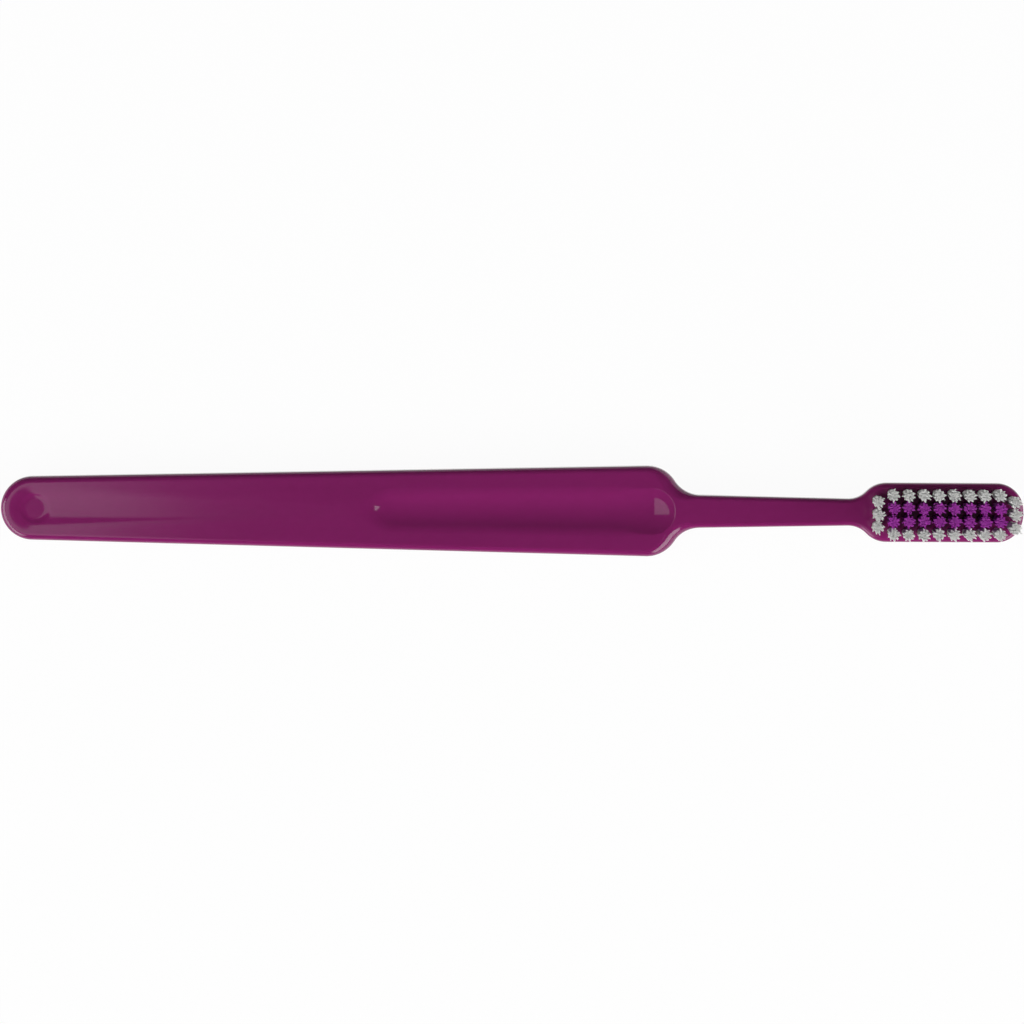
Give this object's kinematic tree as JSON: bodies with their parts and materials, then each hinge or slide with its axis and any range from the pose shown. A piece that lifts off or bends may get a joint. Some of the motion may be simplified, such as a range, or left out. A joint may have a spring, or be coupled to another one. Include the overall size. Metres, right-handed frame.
{
  "type": "manual toothbrush",
  "caption": "Manual toothbrush with a one-piece tapered purple handle, a thumb rest, a slim neck and a round-nosed head of anchored white and purple nylon tufts.",
  "frame": {"origin": "on the plane of the grip's flat back, under the middle of the brush", "axes": "+X along the brush towards the head, +Z the way the tufts point"},
  "size_m": [0.19, 0.0168, 0.0164],
  "materials": {
    "handle_plastic": "glossy, slightly translucent purple moulding",
    "filament_white": "white nylon filament",
    "filament_purple": "purple nylon filament",
    "anchor_brass": "drawn flat wire"
  },
  "bodies": {
    "root": {"handle": "handle_plastic", "tuft_anchors": "anchor_brass", "tuft_white_upper_1": "filament_white", "tuft_white_upper_2": "filament_white", "tuft_white_upper_3": "filament_white", "tuft_white_upper_4": "filament_white", "tuft_white_upper_5": "filament_white", "tuft_white_upper_6": "filament_white", "tuft_white_upper_7": "filament_white", "tuft_white_upper_8": "filament_white", "tuft_purple_upper_1": "filament_purple", "tuft_purple_upper_2": "filament_purple", "tuft_purple_upper_3": "filament_purple", "tuft_purple_upper_4": "filament_purple", "tuft_purple_upper_5": "filament_purple", "tuft_purple_upper_6": "filament_purple", "tuft_purple_upper_7": "filament_purple", "tuft_purple_upper_8": "filament_purple", "tuft_purple_lower_1": "filament_purple", "tuft_purple_lower_2": "filament_purple", "tuft_purple_lower_3": "filament_purple", "tuft_purple_lower_4": "filament_purple", "tuft_purple_lower_5": "filament_purple", "tuft_purple_lower_6": "filament_purple", "tuft_purple_lower_7": "filament_purple", "tuft_purple_lower_8": "filament_purple", "tuft_white_lower_1": "filament_white", "tuft_white_lower_2": "filament_white", "tuft_white_lower_3": "filament_white", "tuft_white_lower_4": "filament_white", "tuft_white_lower_5": "filament_white", "tuft_white_lower_6": "filament_white", "tuft_white_lower_7": "filament_white", "tuft_white_lower_8": "filament_white", "tuft_white_heel_1": "filament_white", "tuft_white_heel_2": "filament_white", "tuft_white_heel_3": "filament_white", "tuft_white_toe_1": "filament_white", "tuft_white_toe_2": "filament_white", "tuft_white_toe_3": "filament_white"}
  },
  "joints": []
}
